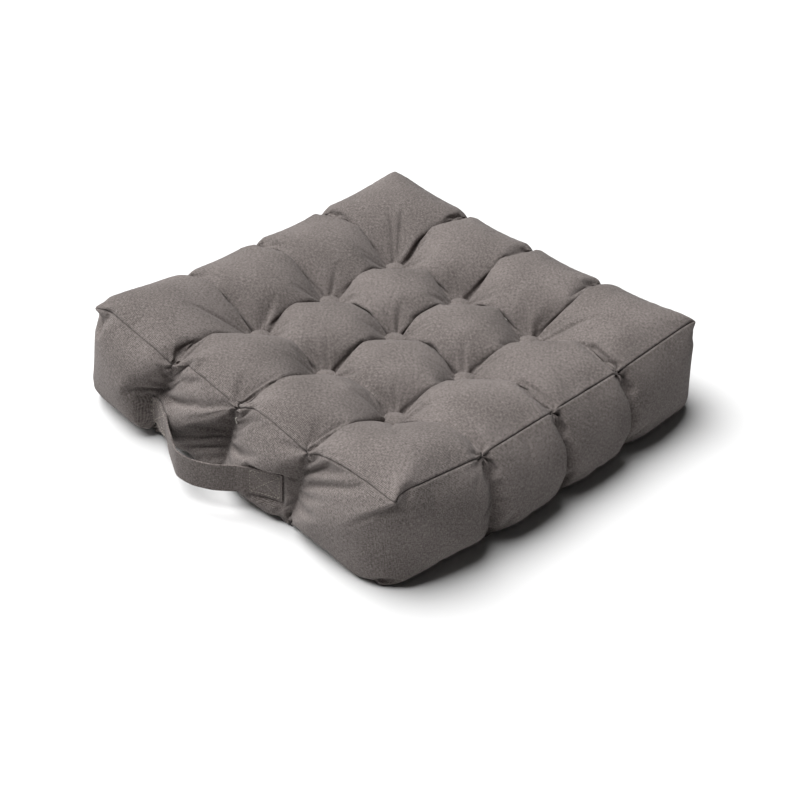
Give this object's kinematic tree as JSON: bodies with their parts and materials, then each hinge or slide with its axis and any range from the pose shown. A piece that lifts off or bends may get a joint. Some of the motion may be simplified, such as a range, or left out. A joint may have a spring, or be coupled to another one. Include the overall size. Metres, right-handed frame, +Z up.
{
  "type": "floor cushion",
  "caption": "Square tufted floor cushion with a boxed cover, covered tufting buttons on both faces, tied edges and a carrying handle on one side.",
  "frame": {"origin": "centre of the base, on the surface the cushion rests on", "axes": "+Z up; the side with the handle faces -Y"},
  "size_m": [0.538, 0.5722, 0.1361],
  "materials": {
    "cover_canvas": "matte woven cotton canvas",
    "button_canvas": "matte woven cotton canvas stretched over a button",
    "strap_canvas": "matte folded canvas strap",
    "sewing_thread": "matte polyester thread",
    "twine": "matte waxed twine",
    "filling": "matte fibre wadding",
    "button_metal": "plated sheet"
  },
  "bodies": {
    "root": {"band_front": "cover_canvas", "band_join_threads": "sewing_thread", "band_rear": "cover_canvas", "base_button_front_centre": "button_canvas", "base_button_front_left": "button_canvas", "base_button_front_right": "button_canvas", "base_button_middle_centre": "button_canvas", "base_button_middle_left": "button_canvas", "base_button_middle_right": "button_canvas", "base_button_rear_centre": "button_canvas", "base_button_rear_left": "button_canvas", "base_button_rear_right": "button_canvas", "base_panel": "cover_canvas", "base_seam_thread": "sewing_thread", "box_stitch_left": "sewing_thread", "box_stitch_right": "sewing_thread", "button_backs": "button_metal", "button_eyes": "button_metal", "button_shells": "button_metal", "edge_tie_front_1": "twine", "edge_tie_front_2": "twine", "edge_tie_front_3": "twine", "edge_tie_left_1": "twine", "edge_tie_left_2": "twine", "edge_tie_left_3": "twine", "edge_tie_rear_1": "twine", "edge_tie_rear_2": "twine", "edge_tie_rear_3": "twine", "edge_tie_right_1": "twine", "edge_tie_right_2": "twine", "edge_tie_right_3": "twine", "fibre_fill": "filling", "handle_end_left": "strap_canvas", "handle_end_right": "strap_canvas", "top_button_front_centre": "button_canvas", "top_button_front_left": "button_canvas", "top_button_front_right": "button_canvas", "top_button_middle_centre": "button_canvas", "top_button_middle_left": "button_canvas", "top_button_middle_right": "button_canvas", "top_button_rear_centre": "button_canvas", "top_button_rear_left": "button_canvas", "top_button_rear_right": "button_canvas", "top_panel": "cover_canvas", "top_seam_thread": "sewing_thread", "tufting_twine_front_centre": "twine", "tufting_twine_front_left": "twine", "tufting_twine_front_right": "twine", "tufting_twine_middle_centre": "twine", "tufting_twine_middle_left": "twine", "tufting_twine_middle_right": "twine", "tufting_twine_rear_centre": "twine", "tufting_twine_rear_left": "twine", "tufting_twine_rear_right": "twine"},
    "handle": {"handle_loop": "strap_canvas"}
  },
  "joints": [
    {"name": "handle_swing", "type": "hinge", "parent": "root", "child": "handle", "pos_m": [0, -0.268, 0.04], "axis": [1, 0, 0], "range_deg": [-45, 30]}
  ]
}
